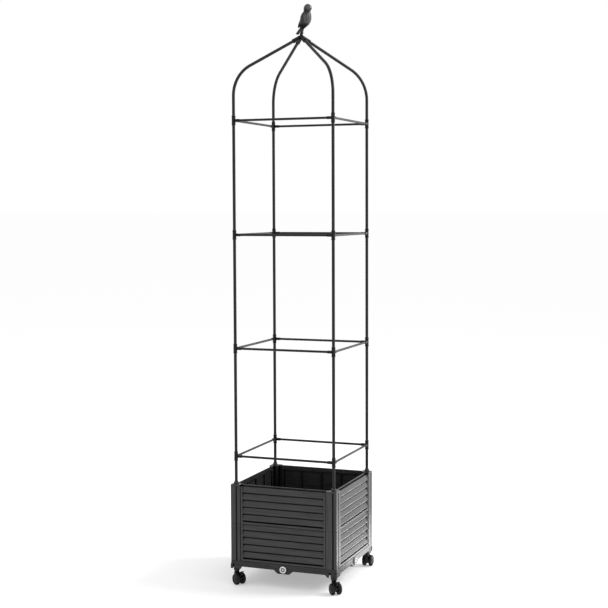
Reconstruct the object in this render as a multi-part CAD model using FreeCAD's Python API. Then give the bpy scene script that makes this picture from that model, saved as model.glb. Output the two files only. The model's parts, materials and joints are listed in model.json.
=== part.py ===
import FreeCAD, Part
import math
import os

# A square planter box on four swivel casters with a tall trellis: four poles rise from the box corners,
# pass four rings of horizontal bars, bend over and meet in a hub that carries a perched bird.
# Millimetres. Z is up from the floor, the front faces -Y, and the origin is on the floor under the middle.

# ---- driving dimensions -------------------------------------------------------------------------------
BOX_WIDTH = 390.0        # across the outer faces of the corner posts
TIER_HEIGHT = 131.0      # height of one tier of posts and panels
WALL = 3.0               # moulded plastic wall
FIT = 0.3                # gap between plastic pieces that push together
SEAT = 0.2               # gap round a pole or bar in its socket
RUNNING = 0.05           # gap round a turning pin
BAR_SIDES = 12           # flats of a thin round bar or its hole
BOSS_SIDES = 16          # flats of a thick one
WHEEL_SIDES = 32

# base tray
SKIRT_TOP = 85.0
SKIRT_BOTTOM = 65.0
EAR_BOTTOM = 57.0        # the skirt's lowest edge, at the corners
EAR_LENGTH = 36.0        # from the corner to where the edge rises
EAR_RISE = 10.0          # length of the rounded rise
LEDGE_WIDTH = 24.0       # shelf that the posts, panels and soil grid stand on
TAB_BOTTOM = 53.0        # under the drain plug
TAB_WIDTH_TOP = 71.0
TAB_WIDTH_BOTTOM = 43.0
LEG_BOTTOM = 48.0
LEG_RADIUS = 11.0
SLOT_HEIGHT = 16.0       # moulding slots beside the legs
SLOT_RIGHT = (7.0, 11.5)
SLOT_LEFT = (22.0, 28.5)
BUMPER = 1.5             # how far the foot of each corner stands proud
BUMPER_LENGTH = 7.0

# corner posts, seen from outside: the face right of the corner is narrower than the one left of it
POST_RIGHT = 35.0
POST_LEFT = 39.0
POST_CORE = 30.0         # side of the square hollow core
ARM_DEPTH = 16.0         # depth of the arms that hold the panels
GROOVE_RIGHT = 21.0      # middle of the upright groove on each face
GROOVE_LEFT = 13.0
GROOVE_WIDTH = 5.0
GROOVE_DEPTH = 3.0
TONGUE_IN = 5.5          # how far a panel's end tongue reaches into the post
TONGUE_THICK = 3.6
CAP_THICK = 6.0
COLLAR_HEIGHT = 9.0
COLLAR_RADIUS = 9.5
COLLAR_TOP_RADIUS = 7.5

# side panels, each moulded as a row of overlapping boards
BOARDS = 5
PANEL_THICK = 14.0
PANEL_INSET = 1.0        # panel face behind the post face
PANEL_GAP = 1.2          # shadow line between panel and post
BOTTOM_BORDER = 7.5
END_BORDER = 8.0
BOARD_SHADOW = 3.6       # height of the groove over each board
BOARD_GROOVE = 6.0       # depth of that groove
BOARD_LEAN = 3.5         # how far a board leans in at its top
LIP_BREAK = 3.0          # bevel along a board's lower lip
RIB_COUNT = 3
RIB_THICK = 2.5
CHANNEL_DEPTH = 7.0      # channel along the top edge, outside the lap tongue
LAP_HEIGHT = 6.0
LAP_THICK = 2.8
EDGE_BREAK = 0.8

# soil grid
GRID_THICK = 3.0
GRID_SLOTS = (3, 8)      # columns and rows of drain slots
GRID_SLOT = (70.0, 5.0)
GRID_FOOT = 26.0         # spread of one cross-shaped foot
GRID_FOOT_PLACE = 100.0

# drain plugs
PLUG_RADIUS = 12.25
PLUG_FLANGE = 4.5
PLUG_TAPER = 1.2
PLUG_SHANK_RADIUS = 7.8
PLUG_SHANK = 9.0
PLUG_DISH_RADIUS = 8.0
PLUG_DISH = 1.2
PLUG_CENTRE = 68.5

# casters; the angle is the way each one trails, from +X towards +Y
CASTER_ANGLES = (-34.0, -49.0, 93.0, 131.0)
WHEEL_RADIUS = 20.0
WHEEL_THICK = 11.5
WHEEL_GAP = 0.5          # between the hood and each wheel
WHEEL_ROUND = 3.5
TRAIL = 14.0             # from the swivel axis to the axle
HOOD_WIDTH = 13.0
HOOD_TOP = 46.0
HOOD_CHEEK = 9.0         # how far the cheeks reach below the axle
HOOD_CROWN = 21.5
CROWN_DEGREES = (12.0, 88.0)
BOSS_RADIUS = 8.5
BOSS_BOTTOM = 40.6
AXLE_RADIUS = 2.0
AXLE_COVER = 2.5         # of each wheel outside the axle's end
STEM_RADIUS = 4.0
STEM_BOTTOM = 26.0
STEM_FLANGE_RADIUS = 7.0
STEM_TOP_RADIUS = 4.8
STEM_IN_LEG = 19.0
BRAKE_PIVOT = (26.0, 31.0)
BRAKE_WIDTH = 8.4
BRAKE_SLOT = 9.0
LEVER_BACK = 5.2         # room in the hood behind and below the lever
LEVER_BELOW = 4.0
BRAKE_PIN_RADIUS = 1.5
PEDAL_WIDTH = 16.0
PEDAL_REAR = (4.6, 13.0) # where the pedal ends, from the pivot, like the outline's points
LEVER_OUTLINE = ((-3.0, -1.0), (-1.0, -3.0), (3.0, -2.0), (5.0, 8.0), (8.0, 15.0), (6.5, 18.0), (4.0, 16.5),
                 (0.0, 8.0))
PEDAL_POINTS = (4, 7)    # the part of that outline that the pedal widens

# trellis
POLE_INSET = 15.0        # pole axis behind both post faces
POLE_RADIUS = 5.25
POLE_BOTTOM = 72.0
RING_HEIGHTS = (450.0, 826.0, 1218.0, 1608.0)
BAR_RADIUS = 4.0
SLEEVE_RADIUS = 7.0
SLEEVE_LENGTH = 32.0
ARM_SIDE = 9.5           # square arms that carry the bars
ARM_REACH = 22.0         # from the pole axis to the end of a bar
APEX_HEIGHT = 1903.0
ARCH_SLOPE = 29.0        # degrees of the straight part of an arch rod above level
ARCH_BEND = 120.0
ARCH_BEND_STEPS = 8
HUB_ARM_RADIUS = 7.5
HUB_ARM_REACH = 36.0
HUB_ARM_FLOOR = 12.0
HUB_RADIUS = 8.0
NECK_RADIUS = 5.5
NECK_TOP = 1914.0

# perched bird; forward is the way it faces, and heights are above the top of the neck
BIRD_ANGLE = -16.0
BIRD_SPINE = ((6.0, 14.0, 3.0), (10.0, 21.0, 8.5), (15.5, 30.0, 14.5), (18.5, 42.0, 18.5),
              (20.0, 55.0, 19.0), (22.0, 66.0, 15.5), (24.5, 73.5, 12.0), (27.0, 79.0, 13.5),
              (28.0, 86.0, 14.8), (28.0, 94.0, 11.0), (27.5, 99.0, 3.5))
BIRD_SIDES = 14
BEAK_ROOT = (38.0, 85.0)
BEAK_RADIUS = 3.5
BEAK_TIP_RADIUS = 0.6
BEAK_LENGTH = 11.0
BIRD_HIP = (9.0, 27.0)
LEG_SPREAD = 4.0
BIRD_LEG_RADIUS = 2.2
BIRD_FOOT = 2.5
BIRD_PIN = 8.0
BIRD_PIN_RADIUS = 2.5
TAIL = ((3.0, 27.0), (-20.0, -2.0))
TAIL_WIDTH = 13.0
TAIL_THICK = 4.0
WING_PLAN = ((24.0, 64.0), (20.0, 44.0), (8.0, 28.0), (-9.0, 20.0), (-1.0, 40.0), (10.0, 62.0))
WING_THICK = 3.0
WING_OUT = 14.5

# ---- worked out from the above ------------------------------------------------------------------------
HALF = BOX_WIDTH / 2
POLE_AT = HALF - POLE_INSET
BOX_TOP = SKIRT_TOP + 2 * TIER_HEIGHT
CAP_TOP = BOX_TOP + CAP_THICK
TONGUE_FROM = PANEL_INSET + (PANEL_THICK - TONGUE_THICK) / 2
AXLE_HEIGHT = WHEEL_RADIUS * math.cos(math.pi / WHEEL_SIDES)
WHEEL_INNER = HOOD_WIDTH / 2 + WHEEL_GAP
WHEEL_OUTER = WHEEL_INNER + WHEEL_THICK
AXLE_HALF = WHEEL_OUTER - AXLE_COVER
ARCH_ANGLE = math.radians(ARCH_SLOPE)
SIDES = ("front", "right", "back", "left")
CORNERS = ("front_left", "front_right", "back_right", "back_left")
UP = FreeCAD.Vector(0, 0, 1)
ORIGIN = FreeCAD.Vector(0, 0, 0)


# ---- helpers ------------------------------------------------------------------------------------------
def vec(x, y, z):
    return FreeCAD.Vector(x, y, z)


def block(x0, y0, z0, x1, y1, z1):
    return Part.makeBox(x1 - x0, y1 - y0, z1 - z0, vec(x0, y0, z0))


def pin(radius, start, end):
    """A true cylinder, for what turns or slides."""
    axis = end.sub(start)
    return Part.makeCylinder(radius, axis.Length, start, axis)


def ring(radius, centre, along, sides):
    """The corners of a round bar's outline, drawn with narrow flats."""
    ahead = FreeCAD.Vector(along).normalize()
    side = ahead.cross(UP if abs(ahead.z) < 0.99 else vec(1, 0, 0)).normalize() * radius
    other = ahead.cross(side)
    turns = [2 * math.pi * (k + 0.5) / sides for k in range(sides)]
    return [centre + side * math.cos(a) + other * math.sin(a) for a in turns]


def plane(points):
    return Part.Face(Part.makePolygon(list(points) + [points[0]]))


def prism(points, along):
    return plane(points).extrude(along)


def rod(radius, start, end, sides=BAR_SIDES):
    """A round bar, or its hole, that nothing turns on."""
    return prism(ring(radius, start, end - start, sides), end - start)


def skin(rings):
    """A solid through rings of points, with a flat face between each pair of edges."""
    faces = [plane(rings[0]), plane(rings[-1])]
    for low, high in zip(rings, rings[1:]):
        for k in range(len(low)):
            faces.append(plane([low[k - 1], low[k], high[k], high[k - 1]]))
    shell = Part.makeShell(faces)
    shell.sewShape()
    solid = Part.makeSolid(shell)
    if solid.Volume < 0:
        solid.reverse()
    return solid


def tapered(stations, along, sides):
    """A solid through parallel rings: each station is (radius, centre)."""
    return skin([ring(radius, centre, along, sides) for radius, centre in stations])


def join(shapes):
    return shapes[0].multiFuse(shapes[1:]).removeSplitter()


def quarter_turned(shape, turns):
    copy = shape.copy()
    copy.rotate(ORIGIN, UP, 90 * turns)
    return copy


def at_all_corners(shape):
    return [quarter_turned(shape, turns) for turns in range(4)]


def save(name, solids):
    shape = Part.makeCompound(solids) if len(solids) > 1 else solids[0]
    shape.exportStep("parts/" + name + ".step")


def corner(u, v, z):
    """A point near the front left corner: u along the front, v along the left side."""
    return vec(-HALF + u, -HALF + v, z)


def corner_block(u0, v0, z0, u1, v1, z1):
    return block(-HALF + u0, -HALF + v0, z0, -HALF + u1, -HALF + v1, z1)


# ---- base tray ----------------------------------------------------------------------------------------
def skirt_side():
    """The front wall of the skirt: rounded rises beside the corners and a tab in the middle."""
    def at(u, z):
        return vec(-HALF + u, -HALF, z)

    half_top = TAB_WIDTH_TOP / 2
    half_bottom = TAB_WIDTH_BOTTOM / 2
    rise_end = EAR_LENGTH + EAR_RISE
    bulge_u = EAR_RISE * math.sqrt(0.5)
    bulge_z = EAR_BOTTOM + (SKIRT_BOTTOM - EAR_BOTTOM) * math.sqrt(0.5)
    left_arc = Part.Arc(at(EAR_LENGTH, EAR_BOTTOM), at(rise_end - bulge_u, bulge_z),
                        at(rise_end, SKIRT_BOTTOM))
    right_arc = Part.Arc(at(BOX_WIDTH - rise_end, SKIRT_BOTTOM), at(BOX_WIDTH - rise_end + bulge_u, bulge_z),
                         at(BOX_WIDTH - EAR_LENGTH, EAR_BOTTOM))
    tab = [at(rise_end, SKIRT_BOTTOM), at(HALF - half_top, SKIRT_BOTTOM), at(HALF - half_bottom, TAB_BOTTOM),
           at(HALF + half_bottom, TAB_BOTTOM), at(HALF + half_top, SKIRT_BOTTOM),
           at(BOX_WIDTH - rise_end, SKIRT_BOTTOM)]
    rest = [at(BOX_WIDTH - EAR_LENGTH, EAR_BOTTOM), at(BOX_WIDTH, EAR_BOTTOM), at(BOX_WIDTH, SKIRT_TOP),
            at(0, SKIRT_TOP), at(0, EAR_BOTTOM), at(EAR_LENGTH, EAR_BOTTOM)]
    wire = Part.Wire([left_arc.toShape()] + Part.makePolygon(tab).Edges
                     + [right_arc.toShape()] + Part.makePolygon(rest).Edges)
    return Part.Face(wire).extrude(vec(0, WALL, 0))


def drain_channel(grow, floor, top, length):
    """A bar of the trough's section along Y, grown outwards by grow."""
    half_top = TAB_WIDTH_TOP / 2 + grow
    half_bottom = TAB_WIDTH_BOTTOM / 2 + grow
    section = [vec(-half_bottom, -length / 2, floor), vec(half_bottom, -length / 2, floor),
               vec(half_top, -length / 2, SKIRT_BOTTOM), vec(half_top, -length / 2, top),
               vec(-half_top, -length / 2, top), vec(-half_top, -length / 2, SKIRT_BOTTOM)]
    return prism(section, vec(0, length, 0))


def base_tray():
    """Reservoir tray: skirt, ledge, floor, cross-shaped drain channel, and four legs with pole sockets."""
    floor_top = SKIRT_BOTTOM + WALL
    inside = HALF - WALL
    ledge_inside = HALF - LEDGE_WIDTH
    skirt = at_all_corners(skirt_side())
    floor = block(-inside, -inside, SKIRT_BOTTOM, inside, inside, floor_top)
    ledge = block(-HALF, -HALF, SKIRT_TOP - WALL, HALF, HALF, SKIRT_TOP).cut(
        block(-ledge_inside, -ledge_inside, 0, ledge_inside, ledge_inside, SKIRT_TOP))
    trough = drain_channel(0, TAB_BOTTOM, floor_top, BOX_WIDTH)
    axis_low = corner(POLE_INSET, POLE_INSET, LEG_BOTTOM)
    leg = rod(LEG_RADIUS, axis_low, corner(POLE_INSET, POLE_INSET, SKIRT_TOP), BOSS_SIDES)
    bumper_top = EAR_BOTTOM + SLOT_HEIGHT
    bumper = corner_block(-BUMPER, -BUMPER, EAR_BOTTOM, BUMPER_LENGTH, BUMPER_LENGTH, bumper_top).cut(
        corner_block(WALL, WALL, 0, POST_LEFT, POST_LEFT, SKIRT_TOP))
    tray = join(skirt + [floor, ledge, trough, quarter_turned(trough, 1)]
                + at_all_corners(leg) + at_all_corners(bumper))

    hollow = drain_channel(-WALL, TAB_BOTTOM + WALL, SKIRT_TOP - WALL, 2 * inside)
    slot_right = corner_block(SLOT_RIGHT[0], -BUMPER, 0, SLOT_RIGHT[1], WALL, bumper_top)
    slot_left = corner_block(-BUMPER, SLOT_LEFT[0], 0, WALL, SLOT_LEFT[1], bumper_top)
    stem_bore = rod(STEM_TOP_RADIUS + SEAT, axis_low,
                    corner(POLE_INSET, POLE_INSET, LEG_BOTTOM + STEM_IN_LEG + FIT))
    pole_bore = rod(POLE_RADIUS + SEAT, corner(POLE_INSET, POLE_INSET, POLE_BOTTOM - FIT),
                    corner(POLE_INSET, POLE_INSET, SKIRT_TOP))
    plug_hole = rod(PLUG_SHANK_RADIUS + SEAT, vec(0, -HALF, PLUG_CENTRE), vec(0, -inside, PLUG_CENTRE),
                    BOSS_SIDES)
    cuts = [hollow, quarter_turned(hollow, 1)]
    for tool in (slot_right, slot_left, stem_bore, pole_bore, plug_hole):
        cuts.extend(at_all_corners(tool))
    return tray.cut(cuts).removeSplitter()


# ---- soil grid ----------------------------------------------------------------------------------------
def soil_grid():
    """Slotted false floor over the reservoir, notched round the posts, on cross-shaped feet."""
    edge = HALF - ARM_DEPTH - FIT
    notch = POST_CORE + FIT
    top = SKIRT_TOP + GRID_THICK
    plate = block(-edge, -edge, SKIRT_TOP, edge, edge, top)
    plate = plate.cut(at_all_corners(corner_block(0, 0, SKIRT_TOP, notch, notch, top)))
    columns, rows = GRID_SLOTS
    length, width = GRID_SLOT
    clear = HALF - notch - WALL
    step_x = 2 * clear / columns
    step_y = 2 * clear / rows
    slots = []
    for column in range(columns):
        x = -clear + (column + 0.5) * step_x
        for row in range(rows):
            y = -clear + (row + 0.5) * step_y
            slots.append(block(x - length / 2, y - width / 2, SKIRT_TOP, x + length / 2, y + width / 2, top))
    plate = plate.cut(slots)
    low = SKIRT_BOTTOM + WALL
    spread = GRID_FOOT / 2
    place = -GRID_FOOT_PLACE
    foot = WALL / 2
    arm = block(place - spread, place - foot, low, place + spread, place + foot, SKIRT_TOP)
    cross = arm.fuse(block(place - foot, place - spread, low, place + foot, place + spread, SKIRT_TOP))
    return join([plate] + at_all_corners(cross))


# ---- posts and caps -----------------------------------------------------------------------------------
def post_outline(grooved):
    slot_from = TONGUE_FROM - FIT
    slot_to = TONGUE_FROM + TONGUE_THICK + FIT
    slot_in = TONGUE_IN + FIT
    low = (GROOVE_RIGHT - GROOVE_WIDTH / 2, GROOVE_RIGHT + GROOVE_WIDTH / 2)
    side = (GROOVE_LEFT - GROOVE_WIDTH / 2, GROOVE_LEFT + GROOVE_WIDTH / 2)
    inner = [(POST_RIGHT, ARM_DEPTH), (POST_CORE, ARM_DEPTH), (POST_CORE, POST_CORE), (ARM_DEPTH, POST_CORE),
             (ARM_DEPTH, POST_LEFT)]
    if not grooved:
        return [(0, 0), (POST_RIGHT, 0)] + inner + [(0, POST_LEFT)]
    front = [(0, 0), (low[0], 0), (low[0], GROOVE_DEPTH), (low[1], GROOVE_DEPTH), (low[1], 0),
             (POST_RIGHT, 0)]
    slot_a = [(POST_RIGHT, slot_from), (POST_RIGHT - slot_in, slot_from), (POST_RIGHT - slot_in, slot_to),
              (POST_RIGHT, slot_to)]
    slot_b = [(slot_to, POST_LEFT), (slot_to, POST_LEFT - slot_in), (slot_from, POST_LEFT - slot_in),
              (slot_from, POST_LEFT)]
    left = [(0, POST_LEFT), (0, side[1]), (GROOVE_DEPTH, side[1]), (GROOVE_DEPTH, side[0]), (0, side[0])]
    return front + slot_a + inner + slot_b + left


def post(low):
    """Corner post of one tier: hollow core, an upright groove on each face, a slot for each panel."""
    body = prism([corner(u, v, low) for u, v in post_outline(True)], vec(0, 0, TIER_HEIGHT))
    near = WALL + GROOVE_DEPTH
    far = POST_CORE - WALL
    return body.cut(corner_block(near, near, low, far, far, low + TIER_HEIGHT))


def post_cap():
    """Cap on the top post with a tapered collar where the pole comes through."""
    plate = prism([corner(u, v, BOX_TOP) for u, v in post_outline(False)], vec(0, 0, CAP_THICK))
    base = corner(POLE_INSET, POLE_INSET, CAP_TOP)
    collar = tapered([(COLLAR_RADIUS, base), (COLLAR_TOP_RADIUS, base + UP * COLLAR_HEIGHT)], UP, BOSS_SIDES)
    bore = rod(POLE_RADIUS + SEAT, base - UP * CAP_THICK, base + UP * COLLAR_HEIGHT)
    return join([plate, collar]).cut(bore)


# ---- side panels --------------------------------------------------------------------------------------
def board_section(low):
    """Section of the boards, as (depth behind the panel face, height above the panel's foot)."""
    pitch = (TIER_HEIGHT - BOTTOM_BORDER) / BOARDS
    skin_back = BOARD_GROOVE + WALL
    lap_front = PANEL_THICK - LAP_THICK
    channel_floor = TIER_HEIGHT - CHANNEL_DEPTH
    foot_depth = lap_front - FIT

    def at(depth, height):
        return vec(0, -HALF + PANEL_INSET + depth, low + height)

    pen = [at(0, EDGE_BREAK), at(0, BOTTOM_BORDER)]
    for board in range(BOARDS):
        foot = BOTTOM_BORDER + board * pitch
        under = foot + BOARD_SHADOW
        pen += [at(BOARD_GROOVE, foot), at(BOARD_GROOVE, under), at(LIP_BREAK, under),
                at(0, under + LIP_BREAK), at(BOARD_LEAN, foot + pitch)]
    pen += [at(BOARD_LEAN + WALL, TIER_HEIGHT), at(BOARD_LEAN + WALL, channel_floor),
            at(lap_front, channel_floor), at(lap_front, TIER_HEIGHT + LAP_HEIGHT),
            at(PANEL_THICK, TIER_HEIGHT + LAP_HEIGHT), at(PANEL_THICK, channel_floor - WALL),
            at(skin_back, channel_floor - WALL), at(skin_back, WALL), at(foot_depth, WALL),
            at(foot_depth, 0), at(EDGE_BREAK, 0), at(0, EDGE_BREAK)]
    return Part.Face(Part.makePolygon(pen))


def panel(low):
    """Front panel of one tier: leaning boards between plain ends, ribs behind, a tongue at each end."""
    left = -HALF + POST_RIGHT + PANEL_GAP
    right = HALF - POST_LEFT - PANEL_GAP
    face = -HALF + PANEL_INSET
    back = face + PANEL_THICK
    top = low + TIER_HEIGHT
    section = board_section(low)
    section.translate(vec(left, 0, 0))
    boards = section.extrude(vec(right - left, 0, 0))
    pieces = [boards]
    for start, outer in ((left, left), (right - END_BORDER, right)):
        end = start + END_BORDER
        nick = EDGE_BREAK if outer == left else -EDGE_BREAK
        inner = end if outer == left else start
        plan = [vec(outer + nick, face, low), vec(inner, face, low), vec(inner, back, low),
                vec(outer, back, low), vec(outer, face + EDGE_BREAK, low)]
        pieces.append(prism(plan, vec(0, 0, TIER_HEIGHT)))
    skin_back = face + BOARD_GROOVE
    step = (right - left) / (RIB_COUNT + 1)
    for rib in range(RIB_COUNT):
        x = left + step * (rib + 1)
        pieces.append(block(x - RIB_THICK / 2, skin_back, low, x + RIB_THICK / 2, back, top - CHANNEL_DEPTH))
    tongue_y = -HALF + TONGUE_FROM
    reach = PANEL_GAP + TONGUE_IN
    pieces.append(block(left - reach, tongue_y, low, left, tongue_y + TONGUE_THICK, top))
    pieces.append(block(right, tongue_y, low, right + reach, tongue_y + TONGUE_THICK, top))
    lap_from = back - LAP_THICK - FIT
    lap_room = block(left - reach, lap_from, low, right + reach, back, low + LAP_HEIGHT + FIT)
    return join(pieces).cut(lap_room).removeSplitter()


# ---- drain plugs --------------------------------------------------------------------------------------
def drain_plug():
    """Push-in plug on the front tab: a dished, tapered flange and a shank."""
    out = vec(0, -1, 0)
    root = vec(0, -HALF, PLUG_CENTRE)
    face = root + out * PLUG_FLANGE
    shank = rod(PLUG_SHANK_RADIUS, root - out * (PLUG_SHANK - WALL), root, BOSS_SIDES)
    flange = tapered([(PLUG_RADIUS, root), (PLUG_RADIUS - PLUG_TAPER, face)], out, BOSS_SIDES)
    dish = rod(PLUG_DISH_RADIUS, face - out * PLUG_DISH, face, BOSS_SIDES)
    return join([shank, flange]).cut(dish)


# ---- casters, built with the swivel axis on Z and trailing along +X ------------------------------------
def at_leg(shape, index):
    """Turn a caster piece to its trailing angle and carry it to its leg."""
    copy = shape.copy()
    copy.rotate(ORIGIN, UP, CASTER_ANGLES[index])
    x, y = ((-1, -1), (1, -1), (1, 1), (-1, 1))[index]
    copy.translate(vec(x * POLE_AT, y * POLE_AT, 0))
    return copy


def across(radius, half_length, forward, height):
    return pin(radius, vec(forward, -half_length, height), vec(forward, half_length, height))


def caster_stem():
    """Steel stem: journal in the hood, six-sided flange under the leg, plain grip in the leg."""
    def on_axis(height):
        return corner(POLE_INSET, POLE_INSET, height)

    flange = HOOD_TOP + FIT
    journal = pin(STEM_RADIUS, on_axis(STEM_BOTTOM), on_axis(flange))
    collar = rod(STEM_FLANGE_RADIUS, on_axis(flange), on_axis(LEG_BOTTOM), 6)
    grip = rod(STEM_TOP_RADIUS, on_axis(LEG_BOTTOM), on_axis(LEG_BOTTOM + STEM_IN_LEG))
    return join([journal, collar, grip])


def caster_hood():
    """Hood between the wheels: arched below, crowned above, slotted for the brake lever."""
    def at(forward, height):
        return vec(forward, -HOOD_WIDTH / 2, height)

    def on_crown(degrees):
        angle = math.radians(degrees)
        return at(TRAIL + HOOD_CROWN * math.cos(angle), AXLE_HEIGHT + HOOD_CROWN * math.sin(angle))

    low = AXLE_HEIGHT - HOOD_CHEEK
    rear, fore = CROWN_DEGREES
    crown = Part.Arc(on_crown(rear), on_crown((rear + fore) / 2), on_crown(fore))
    front = [on_crown(fore), at(-BOSS_RADIUS, BOSS_BOTTOM), at(-BOSS_RADIUS, STEM_BOTTOM),
             at(0, low + HOOD_CHEEK / 2), at(HOOD_CHEEK / 2, low), at(TRAIL + HOOD_CHEEK / 2, low),
             on_crown(rear)]
    outline = Part.Wire([crown.toShape()] + Part.makePolygon(front).Edges)
    body = Part.Face(outline).extrude(vec(0, HOOD_WIDTH, 0))
    boss = rod(BOSS_RADIUS, vec(0, 0, BOSS_BOTTOM), vec(0, 0, HOOD_TOP))
    pivot, level = BRAKE_PIVOT
    lever_room = block(pivot - LEVER_BACK, -BRAKE_SLOT / 2, level - LEVER_BELOW,
                       pivot + HOOD_WIDTH, BRAKE_SLOT / 2, HOOD_TOP)
    stem_room = pin(STEM_RADIUS + RUNNING, vec(0, 0, STEM_BOTTOM - FIT), vec(0, 0, HOOD_TOP))
    axle_room = across(AXLE_RADIUS + RUNNING, HOOD_WIDTH, TRAIL, AXLE_HEIGHT)
    pin_room = across(BRAKE_PIN_RADIUS + RUNNING, HOOD_WIDTH, pivot, level)
    return join([body, boss]).cut([lever_room, stem_room, axle_room, pin_room])


def caster_wheels():
    """The pair of wheels on one axle, each rounded at the rim and closed over the axle's end."""
    middle = vec(TRAIL, 0, AXLE_HEIGHT)
    pair = []
    for side in (-1, 1):
        out = vec(0, side, 0)
        inner = middle + out * WHEEL_INNER
        stations = [(WHEEL_RADIUS, inner), (WHEEL_RADIUS, middle + out * (WHEEL_OUTER - WHEEL_ROUND)),
                    (WHEEL_RADIUS - WHEEL_ROUND, middle + out * WHEEL_OUTER)]
        bore = rod(AXLE_RADIUS + SEAT, inner, middle + out * (AXLE_HALF + SEAT))
        pair.append(tapered(stations, out, WHEEL_SIDES).cut(bore))
    return pair


def caster_axle():
    return across(AXLE_RADIUS, AXLE_HALF, TRAIL, AXLE_HEIGHT)


def caster_brake():
    """Brake lever on its cross pin, with a foot pedal behind the hood's crown."""
    pivot, level = BRAKE_PIVOT

    def plate(points, width):
        outline = [vec(pivot + x, -width / 2, level + z) for x, z in points]
        return prism(outline, vec(0, width, 0))

    first, last = PEDAL_POINTS
    arm = plate(LEVER_OUTLINE, BRAKE_WIDTH)
    pedal = plate(LEVER_OUTLINE[first:last] + (PEDAL_REAR,), PEDAL_WIDTH)
    cross_pin = rod(BRAKE_PIN_RADIUS, vec(pivot, -HOOD_WIDTH / 2, level), vec(pivot, HOOD_WIDTH / 2, level))
    return join([arm, pedal, cross_pin])


# ---- trellis ------------------------------------------------------------------------------------------
def pole_section(low, high):
    return rod(POLE_RADIUS, vec(-POLE_AT, -POLE_AT, low), vec(-POLE_AT, -POLE_AT, high))


def ring_bar(height):
    end = POLE_AT - ARM_REACH
    return rod(BAR_RADIUS, vec(-end, -POLE_AT, height), vec(end, -POLE_AT, height))


def ring_connector(height):
    """Sleeve that joins two pole sections, with a square arm for each of the two bars."""
    middle = vec(-POLE_AT, -POLE_AT, height)
    half = UP * (SLEEVE_LENGTH / 2)
    sleeve = rod(SLEEVE_RADIUS, middle - half, middle + half)
    side = block(-POLE_AT, -POLE_AT - ARM_SIDE / 2, height - ARM_SIDE / 2,
                 -POLE_AT + ARM_REACH, -POLE_AT + ARM_SIDE / 2, height + ARM_SIDE / 2)
    along = block(-POLE_AT - ARM_SIDE / 2, -POLE_AT, height - ARM_SIDE / 2,
                  -POLE_AT + ARM_SIDE / 2, -POLE_AT + ARM_REACH, height + ARM_SIDE / 2)
    return join([sleeve, side, along]).cut(rod(POLE_RADIUS + SEAT, middle - half, middle + half))


def arch_point(inward, height):
    """A point over the diagonal from the front left pole: inward is the level distance from the pole."""
    share = inward * math.sqrt(0.5)
    return vec(-POLE_AT + share, -POLE_AT + share, height)


def arch_run():
    """Height where the bend starts, and the unit vector up the slope."""
    to_middle = POLE_AT * math.sqrt(2)
    tangent = ARCH_BEND * math.tan((math.pi / 2 - ARCH_ANGLE) / 2)
    elbow = APEX_HEIGHT - to_middle * math.tan(ARCH_ANGLE)
    level = math.cos(ARCH_ANGLE) * math.sqrt(0.5)
    return elbow - tangent, vec(level, level, math.sin(ARCH_ANGLE))


def arch_rod():
    """Upright, bent over in a wide arc drawn in short straight steps, then straight up to the hub."""
    bend_start, slope = arch_run()
    centre = arch_point(ARCH_BEND, bend_start)
    axis = UP.cross(slope).normalize()
    outline = ring(POLE_RADIUS, arch_point(0, bend_start), UP, BAR_SIDES)
    foot = UP * (RING_HEIGHTS[-1] + FIT - bend_start)
    rings = [[point + foot for point in outline]]
    for step in range(ARCH_BEND_STEPS + 1):
        turn = FreeCAD.Rotation(axis, (90 - ARCH_SLOPE) * step / ARCH_BEND_STEPS)
        rings.append([centre + turn.multVec(point - centre) for point in outline])
    bend_end = centre + turn.multVec(arch_point(0, bend_start) - centre)
    run = vec(0, 0, APEX_HEIGHT) - slope * (HUB_ARM_FLOOR + FIT) - bend_end
    rings.append([point + run for point in rings[-1]])
    return skin(rings)


def trellis_hub():
    """Hub at the apex: a socket for each arch rod and a short neck bored for the bird's pin."""
    apex = vec(0, 0, APEX_HEIGHT)
    slope = arch_run()[1]
    arm = rod(HUB_ARM_RADIUS, apex, apex - slope * HUB_ARM_REACH)
    bore = rod(POLE_RADIUS + SEAT, apex - slope * HUB_ARM_FLOOR, apex - slope * HUB_ARM_REACH)
    core = rod(HUB_RADIUS, apex - UP * HUB_RADIUS, apex + UP * (HUB_RADIUS / 2))
    neck = rod(NECK_RADIUS, apex, vec(0, 0, NECK_TOP))
    pin_bore = rod(BIRD_PIN_RADIUS + SEAT, vec(0, 0, NECK_TOP - BIRD_PIN - FIT), vec(0, 0, NECK_TOP))
    return join(at_all_corners(arm) + [core, neck]).cut(at_all_corners(bore) + [pin_bore])


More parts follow.
